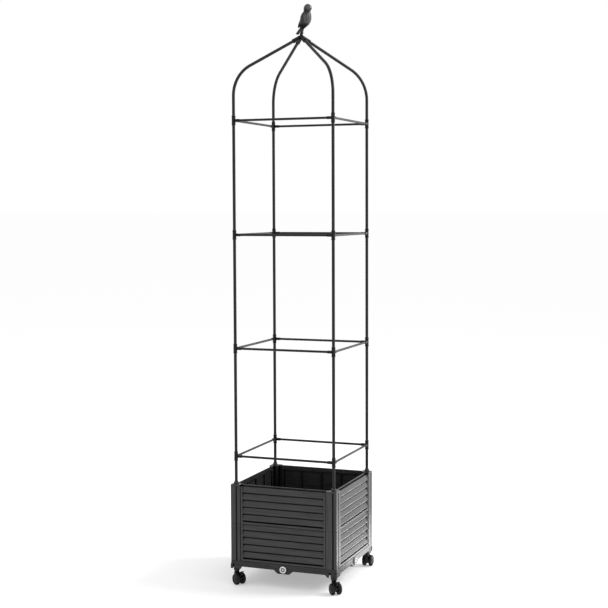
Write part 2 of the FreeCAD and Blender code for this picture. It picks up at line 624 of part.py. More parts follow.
# ---- bird ---------------------------------------------------------------------------------------------
def bird_finial():
    """Perched songbird: full body and round head, short beak, folded wings, straight tail, two legs."""
    def at(forward, height, side=0.0):
        return vec(forward, side, NECK_TOP + height)

    body = tapered([(radius, at(forward, height)) for forward, height, radius in BIRD_SPINE], UP, BIRD_SIDES)
    face = at(*BEAK_ROOT)
    ahead = vec(1, 0, 0)
    beak = tapered([(BEAK_RADIUS, face), (BEAK_TIP_RADIUS, face + ahead * BEAK_LENGTH)], ahead, BAR_SIDES)
    foot = rod(NECK_RADIUS, at(0, 0), at(0, BIRD_FOOT))
    pin_below = rod(BIRD_PIN_RADIUS, at(0, -BIRD_PIN), at(0, 0))
    legs = [rod(BIRD_LEG_RADIUS, at(0, BIRD_FOOT / 2, out), at(*BIRD_HIP, out))
            for out in (-LEG_SPREAD, LEG_SPREAD)]

    root, tip = TAIL
    lift = vec(tip[0] - root[0], 0, tip[1] - root[1]).cross(vec(0, 1, 0)).normalize() * TAIL_THICK
    half = TAIL_WIDTH / 2
    tail = prism([at(*root, -half / 2) - lift / 2, at(*tip, -half) - lift / 2, at(*tip, half) - lift / 2,
                  at(*root, half / 2) - lift / 2], lift)
    wings = [prism([at(*point, side * WING_OUT) for point in WING_PLAN], vec(0, side * WING_THICK, 0))
             for side in (-1, 1)]
    bird = join([body, beak, foot, pin_below, tail] + legs + wings)
    bird.rotate(ORIGIN, UP, BIRD_ANGLE)
    return bird


# ---- write every piece --------------------------------------------------------------------------------
os.makedirs("parts", exist_ok=True)

save("base_tray", [base_tray()])
save("soil_grid", [soil_grid()])

middle_height = SKIRT_TOP + TIER_HEIGHT
for tier, low in (("lower", SKIRT_TOP), ("upper", middle_height)):
    tier_post = post(low)
    tier_panel = panel(low)
    for turns in range(4):
        save(tier + "_post_" + CORNERS[turns], [quarter_turned(tier_post, turns)])
        save(tier + "_panel_" + SIDES[turns], [quarter_turned(tier_panel, turns)])
save("post_caps", at_all_corners(post_cap()))

plug = drain_plug()
for turns in range(4):
    save("drain_plug_" + SIDES[turns], [quarter_turned(plug, turns)])

save("caster_stems", at_all_corners(caster_stem()))
hood = caster_hood()
wheels = caster_wheels()
axle = caster_axle()
brake = caster_brake()
for index in range(4):
    save("caster_hood_" + CORNERS[index], [at_leg(hood, index)])
    save("caster_wheels_" + CORNERS[index], [at_leg(wheel, index) for wheel in wheels])
    save("caster_axle_" + CORNERS[index], [at_leg(axle, index)])
    save("caster_brake_" + CORNERS[index], [at_leg(brake, index)])

section_low = POLE_BOTTOM
for level, height in enumerate(RING_HEIGHTS, start=1):
    save("pole_sections_%d" % level, at_all_corners(pole_section(section_low, height - FIT)))
    save("ring_bars_%d" % level, at_all_corners(ring_bar(height)))
    save("ring_connectors_%d" % level, at_all_corners(ring_connector(height)))
    section_low = height + FIT
save("arch_rods", at_all_corners(arch_rod()))
save("trellis_hub", [trellis_hub()])
save("bird_finial", [bird_finial()])
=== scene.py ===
import json
import math

import bmesh
import bpy
from bpy.props import FloatProperty, FloatVectorProperty, IntProperty, PointerProperty
from bpy.types import Operator, Panel, PropertyGroup
from mathutils import Matrix, Vector


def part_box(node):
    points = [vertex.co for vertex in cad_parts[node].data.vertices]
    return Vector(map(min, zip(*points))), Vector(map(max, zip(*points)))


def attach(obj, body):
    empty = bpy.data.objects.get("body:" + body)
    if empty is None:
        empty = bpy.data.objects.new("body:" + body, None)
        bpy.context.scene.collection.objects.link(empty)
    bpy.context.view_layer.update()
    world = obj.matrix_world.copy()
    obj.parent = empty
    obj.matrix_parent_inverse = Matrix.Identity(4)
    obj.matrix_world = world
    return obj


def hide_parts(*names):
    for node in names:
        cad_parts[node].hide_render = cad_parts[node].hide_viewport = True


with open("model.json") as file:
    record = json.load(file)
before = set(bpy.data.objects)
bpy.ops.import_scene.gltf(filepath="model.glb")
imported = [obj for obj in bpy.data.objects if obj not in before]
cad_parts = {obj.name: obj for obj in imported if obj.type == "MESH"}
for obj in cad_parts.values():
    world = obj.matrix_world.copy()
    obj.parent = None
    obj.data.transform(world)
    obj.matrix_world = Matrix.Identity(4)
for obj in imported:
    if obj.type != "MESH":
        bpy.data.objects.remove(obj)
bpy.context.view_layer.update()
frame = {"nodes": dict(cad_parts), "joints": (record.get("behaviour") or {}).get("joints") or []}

# A square planter box of moulded plastic boards on four casters, with a tall trellis of coated steel
# rods over it and a cast songbird on top. Lengths are metres; sizes named in millimetres use MM.

bl_info = {
    "name": "Planter with trellis",
    "version": (1, 0, 0),
    "blender": (4, 5, 0),
    "location": "View3D > Sidebar > Planter",
    "description": "Detailed pieces and finishes for a planter box with a rod trellis",
    "category": "Object",
}

MM = 0.001
JOINTS = {joint["name"]: joint for joint in frame["joints"]}
CORNERS = ("front_left", "front_right", "back_right", "back_left")
SIDES = ("front", "right", "back", "left")
RINGS = (1, 2, 3, 4)
UP = Vector((0, 0, 1))
WELD = 0.002 * MM                  # vertices closer than this are one
FLAT = math.radians(0.5)           # faces that meet flatter than this are one
SHARP = math.radians(28)           # edges sharper than this are rounded
CREASE = math.radians(40)          # edges sharper than this are shaded as creases
SOCKET_GAP = 0.15 * MM             # round a rod in its sleeve or socket
AXLE_RADIUS = 2 * MM
AXLE_HALF = 16 * MM
FLOOR_REACH = 400                  # metres, so that its edge is lost in the distance


def linear(code):
    """An sRGB hex colour as linear red, green and blue."""
    def channel(value):
        return value / 12.92 if value <= 0.04045 else ((value + 0.055) / 1.055) ** 2.4

    return tuple(channel(int(code[place:place + 2], 16) / 255) for place in (1, 3, 5))


# ---- what a user would change --------------------------------------------------------------------------
def colour(name, description, code):
    return FloatVectorProperty(name=name, description=description, subtype="COLOR", size=3, min=0, max=1,
                               default=linear(code))


def length(name, description, millimetres):
    return FloatProperty(name=name, description=description, default=millimetres * MM, min=0, unit="LENGTH")


class PlanterBoxSettings(PropertyGroup):
    """Finish of the moulded box."""
    board_dark: colour("Grain dark", "Colour in the hollows of the moulded grain", "#151516")
    board_light: colour("Grain light", "Colour on the ridges of the moulded grain", "#2c2c2e")
    grain_pitch: length("Grain pitch", "Spacing of the moulded grain lines, across the grain", 4.2)
    grain_length: length("Grain length", "Length of one grain line", 90)
    edge_round: length("Edge round", "Radius on the moulded edges", 0.8)
    lip_round: length("Lip round", "Width of the rolled edge on each board's lower lip", 2.6)
    plug_tone: colour("Plug", "Colour of the drain plugs", "#dcdcda")


class PlanterCasterSettings(PropertyGroup):
    """Sizes and finish of the casters."""
    wheel_radius: length("Wheel radius", "Radius of one wheel's tread", 20)
    wheel_thickness: length("Wheel thickness", "Thickness of one wheel", 11.5)
    wheel_inner: length("Wheel offset", "From the caster's middle plane to a wheel", 7)
    rim_round: length("Rim round", "Radius where a wheel's tread meets its face", 3.5)
    plastic: colour("Caster plastic", "Colour of wheels, hood and brake", "#0c0c0d")
    tread: colour("Tread", "Colour of the tread band", "#101011")


class PlanterTrellisSettings(PropertyGroup):
    """Sizes and finish of the rods and their joints."""
    pole_radius: length("Pole radius", "Radius of the upright and arched rods", 5.25)
    bar_radius: length("Bar radius", "Radius of the ring bars", 4)
    sleeve_radius: length("Sleeve radius", "Radius of the sleeves at each ring", 7)
    arm_side: length("Arm side", "Side of the square arms that carry the ring bars", 9.5)
    arm_reach: length("Arm reach", "From a pole's axis to the end of an arm", 22)
    bend_radius: length("Bend radius", "Radius of the bend at the top of each pole", 120)
    apex_height: length("Apex height", "Height where the arched rods meet", 1903)
    arch_slope: FloatProperty(name="Arch slope", description="Slope of the straight part of an arch",
                              default=math.radians(29), unit="ROTATION")
    coat: colour("Rod coating", "Colour of the powder coat", "#0a0a0b")
    joint_plastic: colour("Joint plastic", "Colour of the sleeves and hub", "#0e0e0f")
    round_steps: IntProperty(name="Round steps", description="Segments round a rod", default=32, min=8,
                             max=96)


class PlanterBirdSettings(PropertyGroup):
    """Size and finish of the cast bird."""
    heading: FloatProperty(name="Heading", description="The way the bird faces, from +X towards +Y",
                           default=math.radians(-16), unit="ROTATION")
    neck_top: length("Perch height", "Height of the hub's top, where the bird stands", 1914)
    metal_dark: colour("Metal dark", "Colour in the grooves between feathers", "#121214")
    metal_light: colour("Metal light", "Colour rubbed bright on the feather ridges", "#747476")


class PlanterStudioSettings(PropertyGroup):
    """Camera, floor and light."""
    camera_place: FloatVectorProperty(name="Camera place", description="Where the camera stands", size=3,
                                      subtype="TRANSLATION", unit="LENGTH", default=(1.643, -4.2929, 1.3078))
    camera_heading: FloatProperty(name="Camera heading", description="Turn of the camera about the vertical",
                                  default=0.3643, unit="ROTATION")
    camera_tilt: FloatProperty(name="Camera tilt", description="Tilt of the camera above level",
                               default=-0.073, unit="ROTATION")
    camera_roll: FloatProperty(name="Camera roll", description="Roll about the line of sight",
                               default=-0.0037, unit="ROTATION")
    lens: FloatProperty(name="Lens", description="Focal length in millimetres", default=77.36, min=10)
    floor_tone: colour("Floor", "Colour of the studio floor", "#d2d2d2")
    floor_glow: FloatProperty(name="Floor glow", description="Light that comes up through the floor",
                              default=0.34, min=0)
    key_power: FloatProperty(name="Key light", description="Power of the light on the right", default=150,
                             min=0)
    sheen_power: FloatProperty(name="Sheen light", description="Power of the light behind on the right",
                               default=30, min=0)
    strip_power: FloatProperty(name="Floor strip", default=1.5, min=0,
                               description="Power of the strip that lights the lips from below")


SETTINGS = (("planter_box", PlanterBoxSettings), ("planter_casters", PlanterCasterSettings),
            ("planter_trellis", PlanterTrellisSettings), ("planter_bird", PlanterBirdSettings),
            ("planter_studio", PlanterStudioSettings))


# ---- materials -----------------------------------------------------------------------------------------
def add_node(tree, kind, settings=None, values=None, links=None):
    """Adds a node, sets its options and socket values, and links sockets of other nodes into it."""
    node = tree.nodes.new(kind)
    for key, value in (settings or {}).items():
        setattr(node, key, value)
    for key, value in (values or {}).items():
        node.inputs[key].default_value = value
    for key, source in (links or {}).items():
        tree.links.new(source, node.inputs[key])
    return node


def start_material(name, roughness, metallic=0.0, ior=1.49):
    material = bpy.data.materials.get(name)
    if material:
        return material, None, None
    material = bpy.data.materials.new(name)
    material.use_nodes = True
    tree = material.node_tree
    shader = tree.nodes["Principled BSDF"]
    shader.inputs["Roughness"].default_value = roughness
    shader.inputs["Metallic"].default_value = metallic
    if metallic < 0.5:
        shader.inputs["IOR"].default_value = ior
    return material, tree, shader


def two_tones(tree, factor, dark, light, low=0.3, high=0.7):
    ramp = add_node(tree, "ShaderNodeValToRGB", links={"Fac": factor})
    ramp.color_ramp.elements[0].position = low
    ramp.color_ramp.elements[0].color = (*dark, 1)
    ramp.color_ramp.elements[1].position = high
    ramp.color_ramp.elements[1].color = (*light, 1)
    return ramp.outputs["Color"]


def surface_noise(tree, place, size, detail, distortion=0.0):
    """Noise with features of the given size, in metres on the object."""
    noise = add_node(tree, "ShaderNodeTexNoise",
                     values={"Scale": 1 / size, "Detail": detail, "Distortion": distortion},
                     links={"Vector": place.outputs["Object"]})
    return noise.outputs["Fac"]


def vary_roughness(tree, shader, factor, low, high):
    spread = add_node(tree, "ShaderNodeMapRange", values={"To Min": low, "To Max": high},
                      links={"Value": factor})
    tree.links.new(spread.outputs["Result"], shader.inputs["Roughness"])


def raise_skin(tree, shader, height, strength, depth, under=None):
    """The outermost relief of a surface, over the normal of a coarser one where there is one."""
    skin = add_node(tree, "ShaderNodeBump", values={"Strength": strength, "Distance": depth},
                    links={"Height": height, "Normal": under} if under else {"Height": height})
    tree.links.new(skin.outputs["Normal"], shader.inputs["Normal"])


def paint_crevice_shade(tree, shader, tone, reach, sheen=(0.05, 0.5), openness=(0.5, 0.93)):
    """Painted shade: colour and sheen fade in grooves narrower than the reach, over the given range
    of open sky.
    """
    open_sky = add_node(tree, "ShaderNodeAmbientOcclusion", {"samples": 8}, {"Distance": reach})
    share = add_node(tree, "ShaderNodeMapRange",
                     values={"From Min": openness[0], "From Max": openness[1], "To Min": 0.04},
                     links={"Value": open_sky.outputs["AO"]})
    dimmed = add_node(tree, "ShaderNodeVectorMath", {"operation": "SCALE"},
                      links={0: tone, "Scale": share.outputs["Result"]})
    gloss = add_node(tree, "ShaderNodeMapRange", values={"To Min": sheen[0], "To Max": sheen[1]},
                     links={"Value": share.outputs["Result"]})
    tree.links.new(dimmed.outputs["Vector"], shader.inputs["Base Color"])
    tree.links.new(gloss.outputs["Result"], shader.inputs["Specular IOR Level"])


def grained_polypropylene(along, name="boards", shine=0.5):
    """Injection-moulded polypropylene with a sawn-wood grain etched in the mould: fine streaks run along
    the boards, satin ridges between dull hollows. Painted shade turns the grooves on the front and back
    nearly black and takes their sheen; on the right and left the painted shade is lighter and the
    grooves keep the sheen of the lips over them. Real lines are about 1.5 mm apart, drawn coarser to show."""
    box = bpy.context.scene.planter_box
    material, tree, shader = start_material(f"polypropylene_{name}_grain_{'xyz'[along]}", 0.5)
    if not tree:
        return material
    place = add_node(tree, "ShaderNodeTexCoord")
    scale = [1 / box.grain_pitch] * 3
    scale[along] = 1 / box.grain_length
    stretched = add_node(tree, "ShaderNodeMapping", values={"Scale": scale},
                         links={"Vector": place.outputs["Object"]})
    streaks = add_node(tree, "ShaderNodeTexNoise", values={"Scale": 1.0, "Detail": 4.0, "Roughness": 0.62},
                       links={"Vector": stretched.outputs["Vector"]})
    fine = add_node(tree, "ShaderNodeTexNoise", values={"Scale": 2.6, "Detail": 2.0, "Distortion": 0.3},
                    links={"Vector": stretched.outputs["Vector"]})
    pebble = surface_noise(tree, place, 0.9 * MM, 2.0)
    tone = two_tones(tree, streaks.outputs["Fac"], box.board_dark, box.board_light, 0.36, 0.64)
    # painted shade differs by side: grooves on the right and left keep some sheen, those on the front and
    # back lose it
    painted_groove_sheen = 0.45 if along == 1 else 0.0
    openness = (0.62, 0.97) if along == 2 else (0.5, 0.93)   # shallow post grooves take painted shade sooner
    paint_crevice_shade(tree, shader, tone, 12 * MM, (painted_groove_sheen, shine), openness)
    vary_roughness(tree, shader, fine.outputs["Fac"], 0.24, 0.44)
    relief = add_node(tree, "ShaderNodeMath", {"operation": "MULTIPLY_ADD"}, {1: 0.8},
                      {0: streaks.outputs["Fac"], 2: fine.outputs["Fac"]})
    grain = add_node(tree, "ShaderNodeBump", values={"Strength": 0.55, "Distance": 0.35 * MM},
                     links={"Height": relief.outputs["Value"]})
    raise_skin(tree, shader, pebble, 0.25, 0.08 * MM, under=grain.outputs["Normal"])
    return material


def powder_coat():
    """Satin black powder coat on steel rod: a faint orange-peel skin that breaks up long highlights."""
    trellis = bpy.context.scene.planter_trellis
    material, tree, shader = start_material("powder_coated_steel", 0.4, ior=1.5)
    if not tree:
        return material
    shader.inputs["Specular IOR Level"].default_value = 0.3
    place = add_node(tree, "ShaderNodeTexCoord")
    peel = surface_noise(tree, place, 1.1 * MM, 2.0)
    pale_share = surface_noise(tree, place, 60 * MM, 5.0)
    worn = tuple(1.7 * channel for channel in trellis.coat)
    tree.links.new(two_tones(tree, pale_share, trellis.coat, worn, 0.42, 0.72), shader.inputs["Base Color"])
    vary_roughness(tree, shader, pale_share, 0.34, 0.5)
    raise_skin(tree, shader, peel, 0.15, 0.03 * MM)
    return material


def moulded_nylon(name, tone, roughness):
    """Glass-filled nylon out of a spark-eroded mould: near black, an even fine pebble, a waxy sheen."""
    material, tree, shader = start_material(name, roughness, ior=1.53)
    if not tree:
        return material
    place = add_node(tree, "ShaderNodeTexCoord")
    pebble = surface_noise(tree, place, 0.7 * MM, 3.0)
    flow = surface_noise(tree, place, 14 * MM, 4.0, 0.8)
    paler = tuple(min(1.0, 1.8 * channel) for channel in tone)
    # painted shade: colour and sheen fade in the crevices
    paint_crevice_shade(tree, shader, two_tones(tree, flow, tone, paler, 0.4, 0.75), 14 * MM, (0.0, 0.17),
                    (0.45, 0.98))
    vary_roughness(tree, shader, flow, roughness - 0.08, roughness + 0.1)
    raise_skin(tree, shader, pebble, 0.3, 0.07 * MM)
    return material


def zinc_plate():
    """Turned steel with bright zinc plating: fine rings from the lathe and a slightly cloudy colour."""
    material, tree, shader = start_material("zinc_plated_steel", 0.32, metallic=1.0)
    if not tree:
        return material
    place = add_node(tree, "ShaderNodeTexCoord")
    cloud = surface_noise(tree, place, 3 * MM, 3.0)
    tree.links.new(two_tones(tree, cloud, linear("#8c8d90"), linear("#b4b6ba")), shader.inputs["Base Color"])
    rings = add_node(tree, "ShaderNodeTexWave", {"bands_direction": "Z"}, {"Scale": 1 / (2.5 * MM)},
                     {"Vector": place.outputs["Object"]})
    raise_skin(tree, shader, rings.outputs["Fac"], 0.2, 0.03 * MM)
    return material


def plug_plastic():
    """Natural low-density polyethylene: milky off-white, soft shine, a little light scattered inside."""
    box = bpy.context.scene.planter_box
    material, tree, shader = start_material("polyethylene_plug", 0.36, ior=1.51)
    if not tree:
        return material
    place = add_node(tree, "ShaderNodeTexCoord")
    cloud = surface_noise(tree, place, 5 * MM, 3.0)
    greyer = tuple(0.8 * channel for channel in box.plug_tone)
    # painted shade darkens the dish round the knob into a grey ring
    paint_crevice_shade(tree, shader, two_tones(tree, cloud, greyer, box.plug_tone), 5 * MM)
    shader.inputs["Subsurface Weight"].default_value = 0.1
    shader.inputs["Subsurface Scale"].default_value = 2 * MM
    raise_skin(tree, shader, cloud, 0.2, 0.05 * MM)
    return material


def cast_bronze_grey():
    """Cast metal under a dark patina: black in the hollows, rubbed pale on the ridges of the feathers."""
    bird = bpy.context.scene.planter_bird
    material, tree, shader = start_material("patinated_casting", 0.42, metallic=0.75)
    if not tree:
        return material
    place = add_node(tree, "ShaderNodeTexCoord")
    barb_scale = (1 / (4 * MM), 1 / (4 * MM), 1 / (26 * MM))   # barbs are long up and down the bird
    stretched = add_node(tree, "ShaderNodeMapping", values={"Scale": barb_scale, "Rotation": (0, 0.3, 0)},
                         links={"Vector": place.outputs["Object"]})
    barbs = add_node(tree, "ShaderNodeTexNoise", values={"Scale": 1.0, "Detail": 4.0, "Roughness": 0.55},
                     links={"Vector": stretched.outputs["Vector"]})
    hollows = add_node(tree, "ShaderNodeNewGeometry")
    rubbed = add_node(tree, "ShaderNodeMapRange", values={"From Min": 0.44, "From Max": 0.6},
                      links={"Value": hollows.outputs["Pointiness"]})
    height = add_node(tree, "ShaderNodeSeparateXYZ", links={"Vector": place.outputs["Object"]})
    pale_share = add_node(tree, "ShaderNodeMapRange",   # legs and lower body stay dark, with no pale ridges
                       values={"From Min": bird.neck_top + 20 * MM, "From Max": bird.neck_top + 34 * MM},
                       links={"Value": height.outputs["Z"]})
    ridges = add_node(tree, "ShaderNodeMath", {"operation": "MULTIPLY"},
                      links={0: rubbed.outputs["Result"], 1: pale_share.outputs["Result"]})
    mixed = add_node(tree, "ShaderNodeMath", {"operation": "MULTIPLY"},
                     links={0: ridges.outputs["Value"], 1: barbs.outputs["Fac"]})
    tree.links.new(two_tones(tree, mixed.outputs["Value"], bird.metal_dark, bird.metal_light, 0.14, 0.5),
                   shader.inputs["Base Color"])
    vary_roughness(tree, shader, barbs.outputs["Fac"], 0.3, 0.6)
    raise_skin(tree, shader, barbs.outputs["Fac"], 0.6, 0.5 * MM)
    return material


# ---- mesh helpers --------------------------------------------------------------------------------------
def merged_copy(*nodes):
    """A bmesh of CAD nodes with their loose triangles joined and flat faces made whole."""
    bm = bmesh.new()
    for node in nodes:
        bm.from_mesh(frame["nodes"][node].data)
    bmesh.ops.remove_doubles(bm, verts=bm.verts, dist=WELD)
    bmesh.ops.dissolve_limit(bm, angle_limit=FLAT, verts=bm.verts, edges=bm.edges,
                             use_dissolve_boundaries=False, delimit=set())
    return bm


def round_edges(bm, edges, radius, segments):
    bmesh.ops.bevel(bm, geom=edges, offset=radius, offset_type="OFFSET", segments=segments, profile=0.5,
                    affect="EDGES", clamp_overlap=True, material=-1)


def soften(bm, radius):
    """Rounds every sharp edge."""
    edges = [edge for edge in bm.edges if len(edge.link_faces) == 2 and edge.calc_face_angle(0) > SHARP]
    round_edges(bm, edges, radius, 2)


def lathe(bm, profile, origin, axis, steps):
    """Spins a profile of (radius, distance along the axis) round the axis."""
    axis = axis.normalized()
    side = axis.orthogonal().normalized()
    verts = [bm.verts.new(origin + side * radius + axis * along) for radius, along in profile]
    edges = [bm.edges.new(pair) for pair in zip(verts, verts[1:])]
    bmesh.ops.spin(bm, geom=verts + edges, cent=origin, axis=axis, angle=2 * math.pi, steps=steps,
                   use_merge=True, use_duplicate=False)


def bar(bm, radius, start, end, rim, steps):
    """A round bar with a small rounding at each end."""
    long = (end - start).length
    profile = [(0, 0), (radius - rim, 0), (radius, rim), (radius, long - rim), (radius - rim, long),
               (0, long)]
    lathe(bm, profile, start, end - start, steps)


def rounded_slab(bm, centre, size, turn, radius):
    """A cuboid with rounded edges: size along X, Y and Z, turned by a rotation matrix about its centre."""
    shape = Matrix.Translation(centre) @ turn.to_4x4() @ Matrix.Diagonal((*size, 1))
    verts = bmesh.ops.create_cube(bm, size=1, matrix=shape)["verts"]
    edges = list({edge for vert in verts for edge in vert.link_edges})
    round_edges(bm, edges, radius, 3)


def finish_piece(name, bm, body, material, nodes):
    """Turns a bmesh into a smooth-shaded piece that rides on its body and stands for its CAD nodes."""
    bmesh.ops.remove_doubles(bm, verts=bm.verts, dist=WELD)
    bmesh.ops.recalc_face_normals(bm, faces=bm.faces)
    for face in bm.faces:
        face.smooth = True
    mesh = bpy.data.meshes.new(name)
    bm.to_mesh(mesh)
    bm.free()
    if not mesh.polygons:
        raise RuntimeError(name + " has no faces")
    mesh.set_sharp_from_angle(angle=CREASE)
    mesh.materials.append(material)
    piece = bpy.data.objects.new(name, mesh)
    bpy.context.scene.collection.objects.link(piece)
    weighted = piece.modifiers.new("even shading", "WEIGHTED_NORMAL")
    weighted.keep_sharp = True
    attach(piece, body)
    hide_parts(*nodes)


def softened_piece(node, material, radius, body="planter"):
    bm = merged_copy(node)
    soften(bm, radius)
    finish_piece(node + "_detail", bm, body, material, [node])


# ---- the box -------------------------------------------------------------------------------------------
class PLANTER_OT_base_tray(Operator):
    """Reservoir tray with its skirt, drain channel and legs"""
    bl_idname = "planter.base_tray"
    bl_label = "Base tray"

    def execute(self, context):
        radius = context.scene.planter_box.edge_round
        softened_piece("base_tray", grained_polypropylene(0, "tray", 0.26), radius * 0.6)
        return {"FINISHED"}


class PLANTER_OT_soil_grid(Operator):
    """Slotted false floor over the reservoir"""
    bl_idname = "planter.soil_grid"
    bl_label = "Soil grid"

    def execute(self, context):
        softened_piece("soil_grid", grained_polypropylene(0), 0.4 * MM)
        return {"FINISHED"}


class PLANTER_OT_corner_posts(Operator):
    """Two tiers of grooved corner posts"""
    bl_idname = "planter.corner_posts"
    bl_label = "Corner posts"

    def execute(self, context):
        for tier in ("lower", "upper"):
            for corner in CORNERS:
                softened_piece(f"{tier}_post_{corner}", grained_polypropylene(2),
                               context.scene.planter_box.edge_round)
        return {"FINISHED"}


def round_lips(bm, out, radius):
    """Rolls the outer edge of each board's lower lip, where the leaning face meets the bevel under it.
    The short edges at a board's ends are left, because they would hold the roll back."""
    lips = []
    for edge in bm.edges:
        lean = sorted(face.normal.z for face in edge.link_faces if face.normal.dot(out) > 0.6)
        if len(lean) == 2 and lean[0] < -0.5 and 0.05 < lean[1] < 0.4 and edge.calc_length() > 50 * MM:
            lips.append(edge)
    round_edges(bm, lips, radius, 4)


class PLANTER_OT_side_panels(Operator):
    """Two tiers of panels, each moulded as a row of overlapping boards"""
    bl_idname = "planter.side_panels"
    bl_label = "Side panels"

    def execute(self, context):
        box = context.scene.planter_box
        for tier in ("lower", "upper"):
            for place, side in enumerate(SIDES):
                node = f"{tier}_panel_{side}"
                bm = merged_copy(node)
                round_lips(bm, Vector(JOINTS[f"plug_{side}_pull"]["axis"]), box.lip_round)
                soften(bm, box.edge_round)
                finish_piece(node + "_detail", bm, "planter",
                             grained_polypropylene(place % 2), [node])
        return {"FINISHED"}


class PLANTER_OT_post_caps(Operator):
    """Corner caps with the collars that the poles come through"""
    bl_idname = "planter.post_caps"
    bl_label = "Post caps"

    def execute(self, context):
        softened_piece("post_caps", grained_polypropylene(0),
                       context.scene.planter_box.edge_round)
        return {"FINISHED"}


def plug_profile(deep, across):
    """From the inner end of the shank out over the flange and its rim, into the dish and up the knob."""
    flange = 4.5 * MM
    shank = 7.8 * MM
    dish = 7.6 * MM
    knob = 4.1 * MM
    floor = -3.7 * MM
    return [(0, -deep), (shank - 1 * MM, -deep), (shank, -deep + 1 * MM), (shank, -flange), (across, -flange),
            (across, -1.2 * MM), (across - 0.5 * MM, -0.3 * MM), (across - 1.3 * MM, 0), (dish + 0.6 * MM, 0),
            (dish, -0.5 * MM), (dish - 0.3 * MM, floor + 0.3 * MM), (dish - 0.7 * MM, floor),
            (knob + 0.4 * MM, floor), (knob, floor + 0.4 * MM), (knob - 0.2 * MM, -0.9 * MM),
            (knob - 0.6 * MM, -0.4 * MM), (knob - 1.5 * MM, -0.2 * MM), (0, -0.1 * MM)]


class PLANTER_OT_drain_plugs(Operator):
    """Push-in drain plugs with a raised rim, a dished ring and a knob"""
    bl_idname = "planter.drain_plugs"
    bl_label = "Drain plugs"

    def execute(self, context):
        for side in SIDES:
            node = "drain_plug_" + side
            low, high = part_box(node)
            out = Vector(JOINTS[f"plug_{side}_pull"]["axis"])
            middle = (low + high) / 2
            deep = abs((high - low).dot(out))
            across = (high.z - low.z) / 2
            face = middle + out * (deep / 2)
            bm = bmesh.new()
            lathe(bm, plug_profile(deep, across), face, out, 56)
            finish_piece(node + "_detail", bm, "plug_" + side, plug_plastic(), [node])
        return {"FINISHED"}


# ---- the casters ---------------------------------------------------------------------------------------
def caster_axes(corner):
    """Axle point, brake pivot and the caster's forward and sideways directions."""
    roll = JOINTS[f"wheel_pair_{corner}_roll"]
    pivot = Vector(JOINTS[f"brake_lever_{corner}_press"]["pos_m"])
    sideways = Vector(roll["axis"])
    return Vector(roll["pos_m"]), pivot, sideways.cross(UP), sideways


class PLANTER_OT_caster_stems(Operator):
    """Zinc-plated stems that join the casters to the legs"""
    bl_idname = "planter.caster_stems"
    bl_label = "Caster stems"

    def execute(self, context):
        softened_piece("caster_stems", zinc_plate(), 0.3 * MM)
        return {"FINISHED"}


class PLANTER_OT_caster_hoods(Operator):
    """Hoods that carry the axles and brake levers"""
    bl_idname = "planter.caster_hoods"
    bl_label = "Caster hoods"

    def execute(self, context):
        tone = context.scene.planter_casters.plastic
        for corner in CORNERS:
            softened_piece("caster_hood_" + corner, moulded_nylon("moulded_nylon_caster", tone, 0.36),
                           0.7 * MM, "swivel_" + corner)
        return {"FINISHED"}


def wheel_profile(sizes, radius):
    """From the axle out over the inner face, the tread, the rolled rim, the stepped face and the hub boss."""
    inner = sizes.wheel_inner
    outer = inner + sizes.wheel_thickness
    turn = sizes.rim_round
    ease = 0.7 * MM
    boss = 7.8 * MM
    dimple = 3.2 * MM
    return [(AXLE_RADIUS, inner), (radius - 0.8 * MM, inner), (radius, inner + 0.8 * MM),
            (radius, outer - turn - ease), (radius - ease / 3, outer - turn),
            (radius - ease, outer - turn + ease), (radius - turn + ease, outer - ease),
            (radius - turn, outer - ease / 3), (radius - turn - 1.6 * MM, outer),
            (radius - turn - 2.4 * MM, outer - 0.9 * MM), (boss + 0.8 * MM, outer - 1.2 * MM),
            (boss, outer - 0.3 * MM), (boss - 1.4 * MM, outer), (dimple, outer),
            (dimple - 0.6 * MM, outer - 0.6 * MM), (0, outer - 0.6 * MM)]


class PLANTER_OT_caster_wheels(Operator):
    """Twin wheels with a tread band, a stepped face and a hub boss"""
    bl_idname = "planter.caster_wheels"
    bl_label = "Caster wheels"

    def execute(self, context):
        sizes = context.scene.planter_casters
        axle_height = caster_axes(CORNERS[0])[0].z
        radius = min(sizes.wheel_radius, axle_height)   # the tread never sinks into the floor
        profile = wheel_profile(sizes, radius)
        material = moulded_nylon("moulded_nylon_wheel", sizes.tread, 0.42)
        for corner in CORNERS:
            axle, _, _, sideways = caster_axes(corner)
            bm = bmesh.new()
            for side in (-1, 1):
                lathe(bm, profile, axle, sideways * side, 64)
            finish_piece(f"caster_wheels_{corner}_detail", bm, "wheel_pair_" + corner,
                         material, ["caster_wheels_" + corner])
        return {"FINISHED"}


class PLANTER_OT_caster_axles(Operator):
    """Steel axles through the hoods"""
    bl_idname = "planter.caster_axles"
    bl_label = "Caster axles"

    def execute(self, context):
        for corner in CORNERS:
            axle, _, _, sideways = caster_axes(corner)
            bm = bmesh.new()
            bar(bm, AXLE_RADIUS, axle - sideways * AXLE_HALF, axle + sideways * AXLE_HALF, 0.3 * MM, 24)
            finish_piece(f"caster_axle_{corner}_detail", bm, "wheel_pair_" + corner,
                         zinc_plate(), ["caster_axle_" + corner])
        return {"FINISHED"}


def pedal_ridges(bm, pivot, forward, sideways):
    """Three grip ridges across the pedal, each a step forward of the last and above it."""
    slope = (forward * 2.5 + UP * 1.5).normalized()
    half = 6.5
    for ridge in range(3):
        base = pivot + forward * (4.6 + 0.75 * ridge) * MM + UP * (16.8 + 0.45 * ridge) * MM
        bar(bm, 0.45 * MM, base - sideways * half * MM + slope * 0.1 * MM,
            base + sideways * half * MM + slope * 0.1 * MM, 0.1 * MM, 12)


